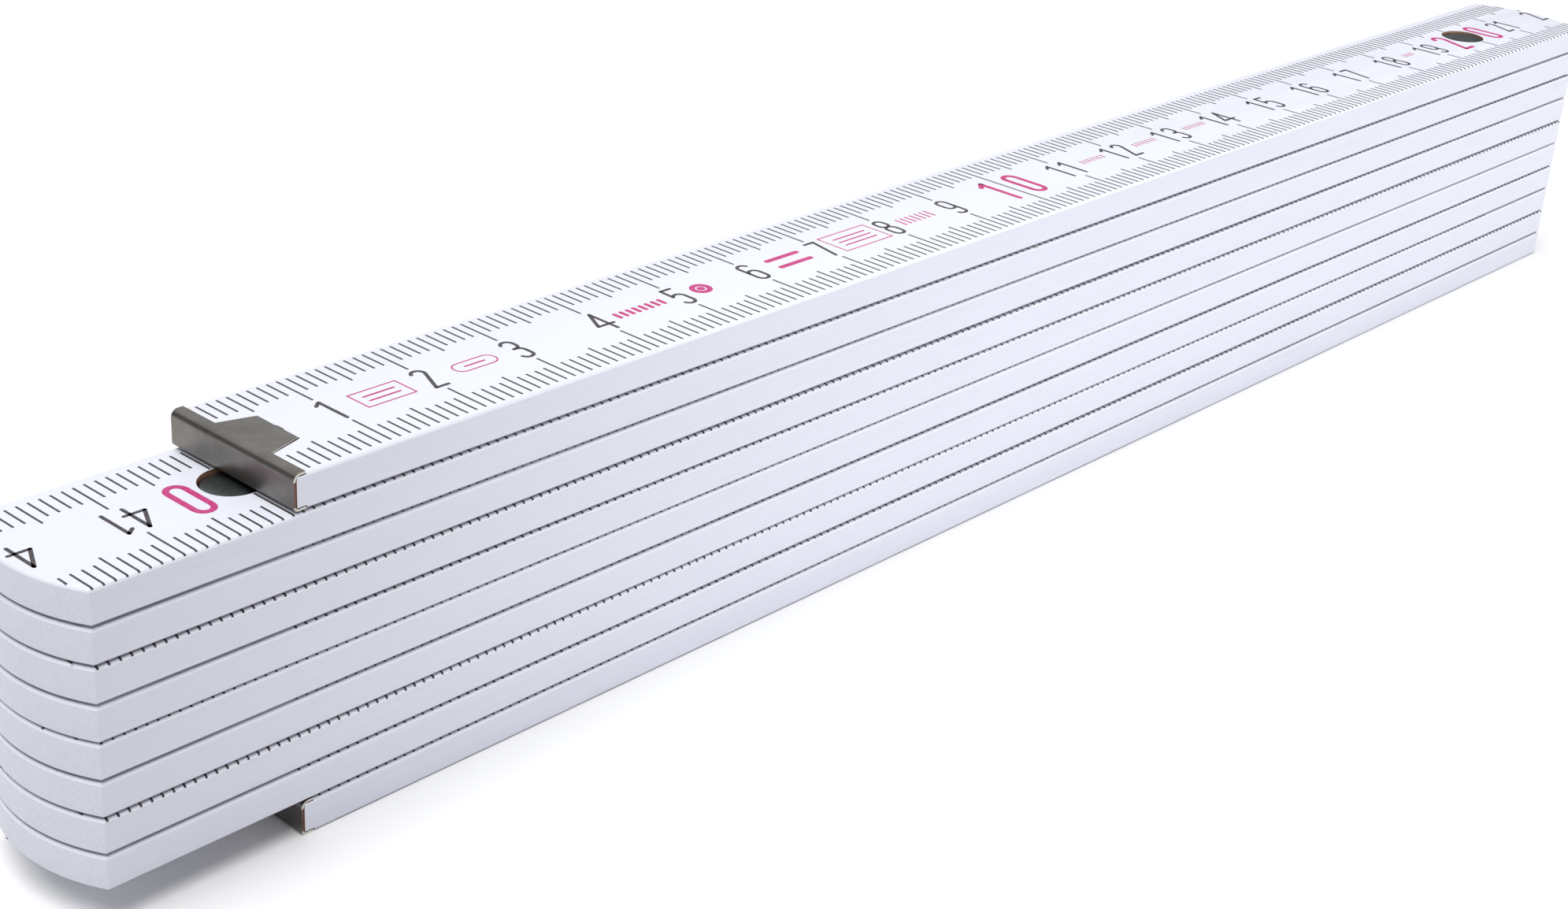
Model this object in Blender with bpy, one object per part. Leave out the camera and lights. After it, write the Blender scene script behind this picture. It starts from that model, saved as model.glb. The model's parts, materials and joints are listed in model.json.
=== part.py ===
"""Two-metre wooden folding rule, folded up.

Ten white-lacquered leaves lie on each other and are joined end to end by nine riveted steel
joints. Leaf 1 is the top leaf and leaf 10 the bottom one, and both begin at the rule's zero end,
under a folded steel cap. Joint 20 is the one at the scale's 20 cm line, between leaves 1 and 2.

+X runs along the leaves, +Y across them and +Z up through the stack. The origin is the centre of
the footprint, on the surface that the rule rests on. Each section of the rule hangs on an empty
that stands on its joint's axis, so turning the empties about Z unfolds the rule.
"""

import math

import bmesh
import bpy
from mathutils import Euler, Matrix, Vector

MM = 0.001

# The rule as a whole
LEAF_COUNT = 10
SCALE_PER_LEAF = 20  # centimetres of scale from one joint to the next
PIVOT_X = 100 * MM  # half the distance between a leaf's two joints
LEAF_GAP = 0.2 * MM

# A leaf
LEAF_WIDTH = 16 * MM
LEAF_THICKNESS = 3.1 * MM
CORNER_REACH = 18.3 * MM  # from the joint's axis to the corners of the round end
END_RADIUS = 16 * MM
END_STEPS = 8
EDGE_BEVEL = 0.2 * MM
HOLE_RADIUS = 2.75 * MM
ROUND_STEPS = 16

# The folded cap on the zero end
CAP_SHEET = 0.2 * MM
CAP_STAND = 0.12 * MM  # how far its upper face stands above the wood
CAP_BEND = 0.25 * MM
CAP_STRIP = 1.2 * MM
TONGUE_REACH = 4.65 * MM
TONGUE_ROOT = 7.3 * MM
TONGUE_TIP = 5.3 * MM

# A joint, measured from its middle plane, halfway between the two leaves
PLATE_FACE = 0.05 * MM
PLATE_SHEET = 0.5 * MM
PLATE_RADIUS = 4.4 * MM
PLATE_REACH = 20 * MM
PLATE_BORE = 1.5 * MM
CLAW_SIZE = Vector((0.6, 1.6, 1.6)) * MM
CLAW_SIDE = 2.9 * MM
RIDGE_SIZE = Vector((1.9, 0.5, 0.06)) * MM
RIDGE_AT = 3.0 * MM
GROOVE_SPARE = 0.2 * MM
SHANK_RADIUS = 1.3 * MM
HEAD_RADIUS = 2.6 * MM
DOME_RISE = 0.35 * MM
DOME_DEPTH = 0.15 * MM  # how far its top lies below the leaf's face
UPPER_HEAD_START = 1.25 * MM
LOWER_HEAD_START = 0.65 * MM
WASHER_BORE = 1.5 * MM
WASHER_RADIUS = 2.4 * MM
WASHER_SHEET = 0.2 * MM
WASHER_CONE = 0.22 * MM
WASHER_START = 0.7 * MM

CLEARANCE = 0.1 * MM
CUT = 1 * MM  # how far a cutter runs past the face that it opens

LEAF_PITCH = LEAF_THICKNESS + LEAF_GAP
APEX_REACH = CORNER_REACH + END_RADIUS - math.sqrt(END_RADIUS**2 - (LEAF_WIDTH / 2) ** 2)
POCKET_DEPTH = PLATE_FACE + PLATE_SHEET + CLEARANCE - LEAF_GAP / 2
HALF_TURN = math.pi

COLOURS = {
    "lacquered_wood": ((0.83, 0.84, 0.88), 0.45, 0.0),
    "cap_steel": ((0.14, 0.135, 0.12), 0.38, 1.0),
    "joint_steel": ((0.46, 0.46, 0.45), 0.4, 1.0),
    "rivet_steel": ((0.05, 0.052, 0.055), 0.3, 1.0),
}


def clear_scene():
    for obj in list(bpy.data.objects):
        bpy.data.objects.remove(obj)


def make_material(name):
    colour, roughness, metallic = COLOURS[name]
    material = bpy.data.materials.new(name)
    material.use_nodes = True
    shader = material.node_tree.nodes["Principled BSDF"]
    shader.inputs["Base Color"].default_value = (*colour, 1)
    shader.inputs["Roughness"].default_value = roughness
    shader.inputs["Metallic"].default_value = metallic
    return material


def make_object(name, mesh):
    obj = bpy.data.objects.new(name, mesh)
    bpy.context.collection.objects.link(obj)
    return obj


def finished_mesh(bm, name):
    bmesh.ops.recalc_face_normals(bm, faces=bm.faces)
    mesh = bpy.data.meshes.new(name)
    bm.to_mesh(mesh)
    bm.free()
    return mesh


def prism(outline, low, high, name="prism"):
    """The outline's closed prism between two heights."""
    bm = bmesh.new()
    floor = bm.faces.new([bm.verts.new((x, y, low)) for x, y in outline])
    grown = bmesh.ops.extrude_face_region(bm, geom=[floor])
    raised = [item for item in grown["geom"] if isinstance(item, bmesh.types.BMVert)]
    bmesh.ops.translate(bm, verts=raised, vec=(0, 0, high - low))
    return finished_mesh(bm, name)


def block(low, high):
    """A box between two corners."""
    outline = [(low[0], low[1]), (high[0], low[1]), (high[0], high[1]), (low[0], high[1])]
    return prism(outline, low[2], high[2], "block")


def turned(profile, name):
    """A solid of revolution about Z, from (radius, height) points that run from axis to axis."""
    bm = bmesh.new()
    verts = [bm.verts.new((radius, 0, height)) for radius, height in profile]
    edges = [bm.edges.new(pair) for pair in zip(verts, verts[1:])]
    bmesh.ops.spin(
        bm,
        geom=verts + edges,
        cent=(0, 0, 0),
        axis=(0, 0, 1),
        angle=2 * math.pi,
        steps=ROUND_STEPS,
    )
    bmesh.ops.remove_doubles(bm, verts=bm.verts, dist=MM / 1000)
    return finished_mesh(bm, name)


def cylinder(radius, low, high):
    return turned([(0, low), (radius, low), (radius, high), (0, high)], "cylinder")


def ring(profile, name):
    """A solid of revolution from a closed loop of (radius, height) points off the axis."""
    return turned(profile + profile[:1], name)


def placed(mesh, matrix):
    mesh.transform(matrix)
    return mesh


def modified(mesh, settings):
    """The mesh with one modifier applied, which settings(modifier list) adds and sets."""
    obj = make_object("work", mesh)
    settings(obj.modifiers)
    graph = bpy.context.evaluated_depsgraph_get()
    result = bpy.data.meshes.new_from_object(obj.evaluated_get(graph))
    bpy.data.objects.remove(obj)
    return result


def combined(mesh, others, operation):
    """The mesh joined with the others (UNION) or cut by them (DIFFERENCE)."""
    helpers = bpy.data.collections.new("helpers")
    bpy.context.scene.collection.children.link(helpers)
    for other in others:
        helper = bpy.data.objects.new("helper", other)
        helper.hide_render = True
        helper.display_type = "WIRE"
        helpers.objects.link(helper)

    def boolean(modifiers):
        modifier = modifiers.new("Shape", "BOOLEAN")
        modifier.operand_type = "COLLECTION"
        modifier.collection = helpers
        modifier.operation = operation
        modifier.solver = "EXACT"

    result = modified(mesh, boolean)
    for helper in list(helpers.objects):
        bpy.data.objects.remove(helper)
    bpy.data.collections.remove(helpers)
    return result


def with_soft_edges(mesh, width):
    def bevel(modifiers):
        modifier = modifiers.new("Soft edges", "BEVEL")
        modifier.width = width
        modifier.segments = 1
        modifier.limit_method = "ANGLE"
        modifier.angle_limit = math.radians(30)

    return modified(mesh, bevel)


def smooth(mesh):
    mesh.shade_smooth()
    mesh.set_sharp_from_angle(angle=math.radians(35))
    return mesh


def arc(centre, radius, start, end, steps):
    """Points along an arc, both ends included."""
    angles = [start + (end - start) * step / steps for step in range(steps + 1)]
    return [(centre + radius * math.cos(a), radius * math.sin(a)) for a in angles]


def leaf_outline(left_is_square):
    """A leaf seen from above, anticlockwise, with its middle at the origin."""
    half_width = LEAF_WIDTH / 2
    spread = math.asin(half_width / END_RADIUS)
    centre = PIVOT_X + APEX_REACH - END_RADIUS
    right = arc(centre, END_RADIUS, -spread, spread, END_STEPS)
    if left_is_square:
        end = CAP_SHEET + CLEARANCE - PIVOT_X
        return right + [(end, half_width), (end, -half_width)]
    return right + [(-x, -y) for x, y in right]


def plate_outline(spare=0):
    """A joint plate seen along its rivet: round about the pivot, straight towards the leaf."""
    radius = PLATE_RADIUS + spare
    corner = 1 * MM
    end = PLATE_REACH + spare
    rounded = arc(0, radius, HALF_TURN / 2, HALF_TURN * 1.5, END_STEPS)
    tip = [(end - corner, -radius), (end, corner - radius)]
    return rounded + tip + [(x, -y) for x, y in reversed(tip)]


def claw_corners(side, spare=0):
    """The lowest and highest corner of one claw, which stands on the plate's inner end."""
    spread = Vector((spare, spare, 0))
    low = Vector((PLATE_REACH - 2 * CLAW_SIZE.x, side * CLAW_SIDE - CLAW_SIZE.y / 2, PLATE_SHEET / 2))
    high = low + Vector((CLAW_SIZE.x, CLAW_SIZE.y, CLAW_SIZE.z + spare))
    return low - spread, high + spread


def towards_leaf(side, face):
    """Turns a joint's own frame (+X along the leaf, +Z into its wood) into the leaf's.

    side is +1 for the joint at the leaf's +X end, and face is +1 for a joint under the leaf.
    """
    turn = Euler((0 if face > 0 else HALF_TURN, 0, HALF_TURN if side > 0 else 0), "XYZ")
    return turn.to_matrix().to_4x4()


def joint_cutters(side, face):
    """What one joint takes out of a leaf whose middle is the origin: a pocket and two slots."""
    start = LEAF_GAP / 2 - CUT
    cutters = [prism(plate_outline(CLEARANCE), start, LEAF_GAP / 2 + POCKET_DEPTH)]
    cutters += [block(*claw_corners(claw, CLEARANCE)) for claw in (-1, 1)]
    height = -(LEAF_THICKNESS + LEAF_GAP) / 2 * face
    place = Matrix.Translation((side * PIVOT_X, 0, height)) @ towards_leaf(side, face)
    return [placed(cutter, place) for cutter in cutters]


def hole_cutter(side):
    hole = cylinder(HOLE_RADIUS, -LEAF_THICKNESS, LEAF_THICKNESS)
    return placed(hole, Matrix.Translation((side * PIVOT_X, 0, 0)))


def tongue_outline(spare=0):
    """The cap's tapered tongue, from inside its strip to its tip."""
    start = CAP_SHEET
    reach = TONGUE_REACH + spare
    root = TONGUE_ROOT / 2 + spare
    tip = TONGUE_TIP / 2 + spare
    return [(start, -root), (CAP_STRIP, -root), (reach, -tip), (reach, tip), (CAP_STRIP, root), (start, root)]


def cap_cutters():
    """The seats of a cap's two flaps in the zero end of a leaf whose middle is the origin."""
    half = LEAF_THICKNESS / 2
    upper_seat = half + CAP_STAND - CAP_SHEET - CLEARANCE
    lower_seat = CAP_SHEET + CLEARANCE - half
    cutters = []
    for low, high in ((upper_seat, half + CUT), (-half - CUT, lower_seat)):
        strip_low = (-CUT, -LEAF_WIDTH, low)
        strip_high = (CAP_STRIP + CLEARANCE, LEAF_WIDTH, high)
        cutters += [block(strip_low, strip_high), prism(tongue_outline(CLEARANCE), low, high)]
    place = Matrix.Translation((-PIVOT_X, 0, 0))
    return [placed(cutter, place) for cutter in cutters]


def leaf_mesh(left_is_square, joints):
    """A leaf about its middle. joints lists (side, face) as towards_leaf() takes them."""
    half = LEAF_THICKNESS / 2
    blank = with_soft_edges(prism(leaf_outline(left_is_square), -half, half, "leaf"), EDGE_BEVEL)
    cutters = [hole_cutter(side) for side, _ in joints]
    for side, face in joints:
        cutters += joint_cutters(side, face)
    if left_is_square:
        cutters += cap_cutters()
    return smooth(combined(blank, cutters, "DIFFERENCE"))


def cap_mesh():
    """The folded cap about the middle of its leaf's zero line: end face, two strips, two tongues."""
    low = -LEAF_THICKNESS / 2
    high = LEAF_THICKNESS / 2 + CAP_STAND
    half_width = LEAF_WIDTH / 2
    shell = with_soft_edges(block((0, -half_width, low), (CAP_STRIP, half_width, high)), CAP_BEND)
    inside_low = (CAP_SHEET, -LEAF_WIDTH, low + CAP_SHEET)
    inside_high = (2 * CAP_STRIP, LEAF_WIDTH, high - CAP_SHEET)
    folded = combined(shell, [block(inside_low, inside_high)], "DIFFERENCE")
    tongues = [
        prism(tongue_outline(), high - CAP_SHEET, high),
        prism(tongue_outline(), low, low + CAP_SHEET),
    ]
    return smooth(combined(folded, tongues, "UNION"))


def ridge_meshes(size, top, bottom):
    """Four radial bars about the pivot, a quarter turn apart, between two heights."""
    low = (RIDGE_AT - size.x / 2, -size.y / 2, top)
    high = (RIDGE_AT + size.x / 2, size.y / 2, bottom)
    quarter = HALF_TURN / 2
    return [placed(block(low, high), Matrix.Rotation(quarter * turn, 4, "Z")) for turn in range(4)]


def plate_mesh(has_ridges):
    """A joint plate in its joint's frame: bored, clawed, and with click ridges or their grooves."""
    sheet = prism(plate_outline(), PLATE_FACE, PLATE_FACE + PLATE_SHEET, "plate")
    claws = [block(*claw_corners(side)) for side in (-1, 1)]
    if has_ridges:
        claws += ridge_meshes(RIDGE_SIZE, PLATE_FACE - RIDGE_SIZE.z, PLATE_FACE + PLATE_SHEET / 2)
    whole = combined(sheet, claws, "UNION")
    cutters = [cylinder(PLATE_BORE, -CUT, CUT)]
    if not has_ridges:
        groove = RIDGE_SIZE + Vector((GROOVE_SPARE, GROOVE_SPARE, 0))
        cutters += ridge_meshes(groove, PLATE_FACE - CUT, PLATE_FACE + GROOVE_SPARE / 2)
    return combined(whole, cutters, "DIFFERENCE")


def head_profile(start):
    """One domed rivet head, from the shank out and up to the axis."""
    top = LEAF_GAP / 2 + LEAF_THICKNESS - DOME_DEPTH
    shoulder = top - DOME_RISE
    quarter = HALF_TURN / 2
    dome = [quarter * step / 3 for step in range(4)]
    rim = [(HEAD_RADIUS * math.cos(a), shoulder + DOME_RISE * math.sin(a)) for a in dome[:-1]]
    return [(SHANK_RADIUS, start), (HEAD_RADIUS, start)] + rim + [(0, top)]


def rivet_mesh():
    upper = head_profile(UPPER_HEAD_START)
    lower = [(radius, -height) for radius, height in reversed(head_profile(LOWER_HEAD_START))]
    return smooth(turned(lower + upper, "rivet"))


def washer_mesh():
    """A cone spring washer, between the upper plate and the rivet's upper head."""
    low = WASHER_START
    loop = [
        (WASHER_BORE, low + WASHER_CONE),
        (WASHER_RADIUS, low),
        (WASHER_RADIUS, low + WASHER_SHEET),
        (WASHER_BORE, low + WASHER_CONE + WASHER_SHEET),
    ]
    return smooth(ring(loop, "washer"))


def leaf_height(number):
    """The height of a leaf's middle, where leaf 1 is the top one."""
    return (LEAF_COUNT - number) * LEAF_PITCH + LEAF_THICKNESS / 2


def joint_side(number):
    """The end where leaf number is joined to the next: +1 on the right, -1 on the left."""
    return 1 if number % 2 else -1


def joint_place(number):
    """The middle of the joint between leaf number and the next."""
    height = leaf_height(number) - LEAF_PITCH / 2
    return Vector((joint_side(number) * PIVOT_X, 0, height))


def make_sections():
    """One empty for each leaf, on the axis of the joint under it, each carried by the next."""
    sections = {LEAF_COUNT: bpy.data.objects.new(f"section_{LEAF_COUNT}", None)}
    bpy.context.collection.objects.link(sections[LEAF_COUNT])
    below = Vector((0, 0, 0))
    for number in range(LEAF_COUNT - 1, 0, -1):
        empty = bpy.data.objects.new(f"section_{number}", None)
        bpy.context.collection.objects.link(empty)
        empty.parent = sections[number + 1]
        empty.location = joint_place(number) - below
        below = joint_place(number)
        sections[number] = empty
    return sections


def hang(obj, sections, number, place, turn=(0, 0, 0)):
    """Puts the object on a section, at a place and turn in the rule's frame."""
    origin = Vector((0, 0, 0)) if number == LEAF_COUNT else joint_place(number)
    obj.parent = sections[number]
    obj.location = place - origin
    obj.rotation_euler = turn


def add_leaves(sections, wood):
    first = leaf_mesh(True, [(1, 1)])
    last = leaf_mesh(True, [(1, -1)])
    middle = leaf_mesh(False, [(-1, 1), (1, -1)])
    for mesh in (first, last, middle):
        mesh.materials.append(wood)
    for number in range(1, LEAF_COUNT + 1):
        mesh = {1: first, LEAF_COUNT: last}.get(number, middle)
        leaf = make_object(f"leaf_{number}", mesh)
        is_turned = mesh is middle and number % 2
        turn = (0, 0, HALF_TURN if is_turned else 0)
        hang(leaf, sections, number, Vector((0, 0, leaf_height(number))), turn)


def add_caps(sections, steel):
    mesh = cap_mesh()
    mesh.materials.append(steel)
    for number in (1, LEAF_COUNT):
        cap = make_object(f"end_cap_{number}", mesh)
        hang(cap, sections, number, Vector((-PIVOT_X, 0, leaf_height(number))))


def add_joints(sections, plate_steel, rivet_steel):
    upper, lower, rivet, washer = plate_mesh(False), plate_mesh(True), rivet_mesh(), washer_mesh()
    for mesh in (upper, lower, washer):
        mesh.materials.append(plate_steel)
    rivet.materials.append(rivet_steel)
    for number in range(1, LEAF_COUNT):
        mark = number * SCALE_PER_LEAF
        side = joint_side(number)
        place = joint_place(number)
        for name, mesh, section, face in (
            ("upper_plate", upper, number, 1),
            ("lower_plate", lower, number + 1, -1),
            ("rivet", rivet, number + 1, 1),
            ("spring_washer", washer, number + 1, 1),
        ):
            turn = towards_leaf(side, face).to_euler()
            hang(make_object(f"{name}_{mark}", mesh), sections, section, place, turn)


def main():
    clear_scene()
    materials = {name: make_material(name) for name in COLOURS}
    sections = make_sections()
    add_leaves(sections, materials["lacquered_wood"])
    add_caps(sections, materials["cap_steel"])
    add_joints(sections, materials["joint_steel"], materials["rivet_steel"])


main()
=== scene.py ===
"""The looks of a white-lacquered two-metre folding rule, folded up.

Each leaf is rebuilt with soft edges, true round holes and bare wood where the lacquer stops. The
scale is real geometry, thin slabs of ink. It is printed off the middle, so that its lines run over
one edge of each leaf.

Leaf 1 is the top leaf. Strip N is the printing that carries the scale from 20 (N - 1) cm on. It
is printed on the top of leaf N and on the underside of leaf 11 - N.
"""

import json
import math

import bmesh
import bpy
from mathutils import Matrix, Vector

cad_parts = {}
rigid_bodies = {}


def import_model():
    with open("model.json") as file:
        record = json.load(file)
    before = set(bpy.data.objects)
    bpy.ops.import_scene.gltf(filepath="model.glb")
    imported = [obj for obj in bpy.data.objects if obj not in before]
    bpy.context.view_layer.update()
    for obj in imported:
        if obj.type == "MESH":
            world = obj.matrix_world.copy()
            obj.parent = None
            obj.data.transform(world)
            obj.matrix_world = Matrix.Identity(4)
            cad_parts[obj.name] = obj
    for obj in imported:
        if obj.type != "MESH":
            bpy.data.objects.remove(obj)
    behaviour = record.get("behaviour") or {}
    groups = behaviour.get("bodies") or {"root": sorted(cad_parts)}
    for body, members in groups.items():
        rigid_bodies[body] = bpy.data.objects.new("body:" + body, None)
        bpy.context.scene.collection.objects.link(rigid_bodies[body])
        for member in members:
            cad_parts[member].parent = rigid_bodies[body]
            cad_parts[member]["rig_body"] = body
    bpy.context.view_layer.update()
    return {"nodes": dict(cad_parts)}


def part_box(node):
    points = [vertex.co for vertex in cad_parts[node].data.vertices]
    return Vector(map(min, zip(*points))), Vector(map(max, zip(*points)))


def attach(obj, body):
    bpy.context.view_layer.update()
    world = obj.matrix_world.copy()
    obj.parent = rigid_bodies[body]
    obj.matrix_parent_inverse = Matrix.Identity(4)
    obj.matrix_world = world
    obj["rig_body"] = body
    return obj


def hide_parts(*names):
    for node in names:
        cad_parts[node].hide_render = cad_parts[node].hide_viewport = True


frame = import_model()

MM = 0.001
LEAF_COUNT = 10
STRIP_CM = 20

# The leaves, from the CAD frame
LEAF_LOW, LEAF_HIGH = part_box("leaf_2")
ZERO_END_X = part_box("leaf_1")[0].x
PIVOT_X = (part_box("rivet_20")[0].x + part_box("rivet_20")[1].x) / 2
INK_STANDS = 0.02 * MM  # how far the ink stands above the lacquer
HALF_WIDTH = LEAF_HIGH.y - INK_STANDS
THICKNESS = LEAF_HIGH.z - LEAF_LOW.z - 2 * INK_STANDS
APEX_X = LEAF_HIGH.x - INK_STANDS
END_RADIUS = 16 * MM
END_STEPS = 40
UPPER_EDGE = 0.28 * MM  # the radius of a leaf's upper edges
LOWER_EDGE = 0.12 * MM
GAP_SHADE_BAND = 0.6 * MM  # along the lower edges, painted dark as shade in the gaps between the leaves
EDGE_STEPS = 4
HOLE_RADIUS = 2.75 * MM
HOLE_STEPS = 56
BOW = 0.05 * MM  # how far a leaf's middle lies off its ends, at most
BOW_STEPS = 24
RAISED = {4: 0.03 * MM, 6: 0.09 * MM, 8: 0.02 * MM}  # leaves a little thicker than the rest

# The joints' seats
SEAT_HALF_WIDTH = 4.5 * MM
SEAT_REACH = 20.1 * MM
SEAT_DEPTH = 0.55 * MM
SEAT_CORNER = 1 * MM

# The caps
CAP_LOW, CAP_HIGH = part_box("end_cap_1")
CAP_SHEET = 0.2 * MM
CAP_STRIP = 1.2 * MM
CAP_STEPS = 8
UPPER_BEND = 0.7 * MM
LOWER_BEND = 0.38 * MM
CAP_SEAT = 0.1 * MM
CAP_BEVEL = 0.03 * MM
CAP_CORNER = 0.09 * MM  # taken off the leaf's corner inside the upper bend
TONGUE_ROOT = 7.3 * MM  # the tongue's width where it leaves the strip
TONGUE_TIP = 5.3 * MM  # and where it ends

# The rivets and plates
PLATE_BEVEL = 0.05 * MM
BEVEL_ANGLE = math.radians(50)  # bevels are cut where faces meet at more than this
SHANK_RADIUS = 1.3 * MM
HEAD_RIM = 0.05 * MM
HEAD_RISE = 0.2 * MM
FLAT_HEAD_RISE = 0.09 * MM  # the top rivet is set flatter than the rest
HEAD_STEPS = 8
UPPER_HEAD_START = 1.25 * MM
LOWER_HEAD_START = 0.65 * MM
DIMPLE_DEPTH = 0.05 * MM
DIMPLE_RADIUS = 0.5 * MM

# The printing
LINE_WIDTH = 0.2 * MM
LINE_MARGIN = 0.58 * MM
MM_LINE = 2.9 * MM
HALF_CM_LINE = 3.7 * MM
CM_LINE = 4.85 * MM
SMALL_FIGURE = (0.625 * MM, 0.625 * MM)  # one unit of a figure, which is 2 units wide and 6 high
SMALL_STROKE = 0.35 * MM
SMALL_PITCH = 2.2 * MM
LARGE_FIGURE = (0.82 * MM, 0.88 * MM)
LARGE_STROKE = 0.58 * MM
LARGE_PITCH = 2.6 * MM
HOLE_GAP = 4.35 * MM  # from a hole's middle to the middle of a large figure beside it
RIGHT_GAP = 2.4 * MM  # the same from a line to the figure on its right
LEFT_GAP = 1.8 * MM
THIN_STROKE = 0.14 * MM
SHORTEST_LINE = 0.15 * MM
HOLE_MARGIN = 0.1 * MM  # from a hole to the line that runs to it
ROUND_END_MARGIN = 0.12 * MM  # from the rounded edge to the lines at a round end
FULL_TURN_OVER = 1.35  # radians that a line may run over an edge
FIGURE_HEIGHT = 6

# The camera
CAMERA_PLACE = Vector((-0.2042, -0.1468, 0.1167))
CAMERA_AZIMUTH = math.radians(49.32)
CAMERA_ELEVATION = math.radians(25.04)
CAMERA_ROLL = math.radians(3.91)
CAMERA_LENS = 56.7

# The stage and its lights
FLOOR_REACH = 15
FLOOR_DEPTH = 0.01
WORLD_STRENGTH = 0.25
SUN_FROM = Vector((-0.25, -0.02, 1))
SUN_STRENGTH = 2.8
SUN_WIDTH = math.radians(55)
# Each softbox has its place, its target, its size, its watts and its spread
SOFTBOXES = {
    "gridded_front": ((0.12, -0.5, 0.12), (0.12, 0, 0.02), (0.4, 0.12), 0.07, math.radians(20)),
    "back": ((0.25, 0.6, 0.42), (-0.1, 0, 0.03), (0.9, 0.5), 1.0, math.radians(180)),
}

# The lacquer's colours, clean and worn, with painted shade on the sides and lower edges and a painted
# highlight on the upper edges
TOP_LACQUER = (0.8, 0.822, 0.9)
# Painted shade: the sides are darker than the top, as if less lit
SHADED_SIDE_LACQUER = (0.672, 0.69, 0.772)
GREYED_LACQUER = (0.42, 0.38, 0.47)
# Painted highlight: the rounded upper edges are as light as the top
HIGHLIT_EDGE_LACQUER = (0.79, 0.81, 0.88)
CHIPPED_EDGE = (0.4, 0.22, 0.2)
# Painted shade for the lower edges, where the gaps between the leaves lie in shade
GAP_SHADE_COLOUR = (0.13, 0.1, 0.16)

# Each ink has its colour where it is thick and where it is thin
INKS = {
    "black_ink": ((0.042, 0.033, 0.036), (0.11, 0.095, 0.11)),
    "magenta_ink": ((0.53, 0.018, 0.18), (0.62, 0.09, 0.29)),
}

# Each steel has a bright and a dull colour, a range of roughness and the scale of its brush marks
STEELS = {
    "cap_steel": ((0.215, 0.203, 0.187), (0.17, 0.16, 0.145), (0.3, 0.4), (900, 5000, 900)),
    # The cut edge is dark brown beside the end face and bright elsewhere
    "dark_cut_edge": ((0.2, 0.13, 0.1), (0.1, 0.06, 0.05), (0.4, 0.6), (3000, 900, 900)),
    "cut_edge_steel": ((0.62, 0.6, 0.55), (0.45, 0.43, 0.4), (0.25, 0.42), (900, 900, 6000)),
    "joint_steel": ((0.5, 0.5, 0.48), (0.36, 0.35, 0.33), (0.28, 0.45), (400, 6000, 400)),
    "rivet_steel": ((0.17, 0.19, 0.185), (0.105, 0.12, 0.12), (0.36, 0.5), (3000, 3000, 3000)),
}


# ---------------------------------------------------------------- mesh helpers


def mesh_object(name, mesh):
    obj = bpy.data.objects.new(name, mesh)
    bpy.context.scene.collection.objects.link(obj)
    return obj


def bmesh_to_mesh(bm, name):
    bmesh.ops.recalc_face_normals(bm, faces=bm.faces)
    mesh = bpy.data.meshes.new(name)
    bm.to_mesh(mesh)
    bm.free()
    return mesh


def prism(outline, low, high, name="prism"):
    """A solid with an outline of (x, y) points, between two heights."""
    bm = bmesh.new()
    floor = bm.faces.new([bm.verts.new((x, y, low)) for x, y in outline])
    grown = bmesh.ops.extrude_face_region(bm, geom=[floor])
    raised = [item for item in grown["geom"] if isinstance(item, bmesh.types.BMVert)]
    bmesh.ops.translate(bm, verts=raised, vec=(0, 0, high - low))
    return bmesh_to_mesh(bm, name)


def turned(profile, steps, name):
    """A solid of revolution about Z, from (radius, height) points that run from axis to axis."""
    bm = bmesh.new()
    verts = [bm.verts.new((radius, 0, height)) for radius, height in profile]
    edges = [bm.edges.new(pair) for pair in zip(verts, verts[1:])]
    bmesh.ops.spin(
        bm, geom=verts + edges, cent=(0, 0, 0), axis=(0, 0, 1), angle=2 * math.pi, steps=steps
    )
    bmesh.ops.remove_doubles(bm, verts=bm.verts, dist=1e-6)
    return bmesh_to_mesh(bm, name)


def cylinder(radius, low, high):
    return turned([(0, low), (radius, low), (radius, high), (0, high)], HOLE_STEPS, "cylinder")


def modified(mesh, kind, **settings):
    """The mesh with one modifier applied."""
    obj = mesh_object("work", mesh)
    modifier = obj.modifiers.new("Shape", kind)
    for name, value in settings.items():
        setattr(modifier, name, value)
    graph = bpy.context.evaluated_depsgraph_get()
    result = bpy.data.meshes.new_from_object(obj.evaluated_get(graph))
    bpy.data.objects.remove(obj)
    return result


def combined(mesh, others, operation):
    """The mesh after a boolean with the other meshes."""
    helpers = bpy.data.collections.new("helpers")
    bpy.context.scene.collection.children.link(helpers)
    for other in others:
        helpers.objects.link(bpy.data.objects.new("helper", other))
    result = modified(
        mesh, "BOOLEAN", operand_type="COLLECTION", collection=helpers, operation=operation, solver="EXACT"
    )
    for helper in list(helpers.objects):
        bpy.data.objects.remove(helper)
    bpy.data.collections.remove(helpers)
    return result


def arc(centre, radius, start, end, steps):
    """Points along an arc about a centre on the X axis, both ends included."""
    angles = [start + (end - start) * step / steps for step in range(steps + 1)]
    return [(centre + radius * math.cos(a), radius * math.sin(a)) for a in angles]


def smooth(mesh, degrees):
    """Smooth shading, with creases where faces meet at more than this angle."""
    mesh.shade_smooth()
    mesh.set_sharp_from_angle(angle=math.radians(degrees))
    return mesh


# ---------------------------------------------------------------- where the leaves are


def leaf_middle(number):
    low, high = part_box(f"leaf_{number}")
    return (low.z + high.z) / 2


def joint_side(number):
    """The end where leaf number is joined to the next: +1 on the right, -1 on the left."""
    return 1 if number % 2 else -1


def bow_of(number):
    """A leaf's share of the bow, so that the gaps vary along the rule. The lowest leaf bows up."""
    if number == LEAF_COUNT:
        return 0.3
    return math.sin(2.4 * number + 0.9)


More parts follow.
